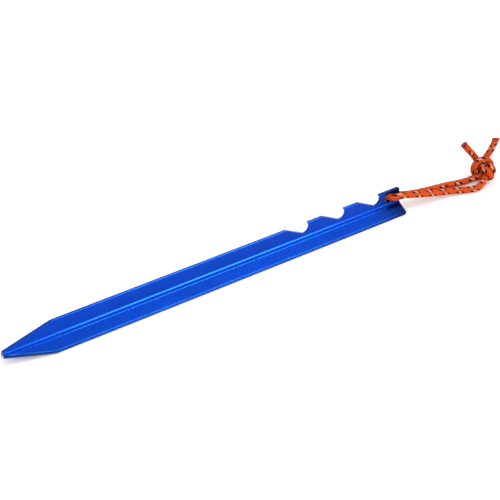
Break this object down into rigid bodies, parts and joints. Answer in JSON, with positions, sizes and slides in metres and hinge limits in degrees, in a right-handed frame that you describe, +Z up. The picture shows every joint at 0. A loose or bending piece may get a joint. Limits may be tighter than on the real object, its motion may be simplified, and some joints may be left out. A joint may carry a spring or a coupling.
{
  "type": "tent peg",
  "caption": "Y-section aluminium tent peg with hook notches in its upright fin, a slanted blunt tip and a knotted loop of braided pull cord through its head.",
  "frame": {"origin": "on the ground, under the middle of the peg's own box without the cord", "axes": "+X along the peg from its tip to its head, +Z up along the notched fin, Y across the peg, which lies on the long edges of its other two fins"},
  "size_m": [0.2359, 0.0167, 0.016],
  "materials": {
    "anodised_aluminium": "blue anodised, satin, with a bright streak along each valley",
    "braided_cord": "orange braid with black and pale reflective flecks"
  },
  "bodies": {
    "peg": {"peg_body": "anodised_aluminium"},
    "pull_loop": {"cord_loop": "braided_cord", "cord_knot": "braided_cord", "cord_tail_left": "braided_cord", "cord_tail_right": "braided_cord"}
  },
  "joints": [
    {"name": "pull_loop_swing", "type": "hinge", "parent": "peg", "child": "pull_loop", "pos_m": [0.0843, 0, 0.00719], "axis": [0, -1, 0], "range_deg": [-10, 155]}
  ]
}
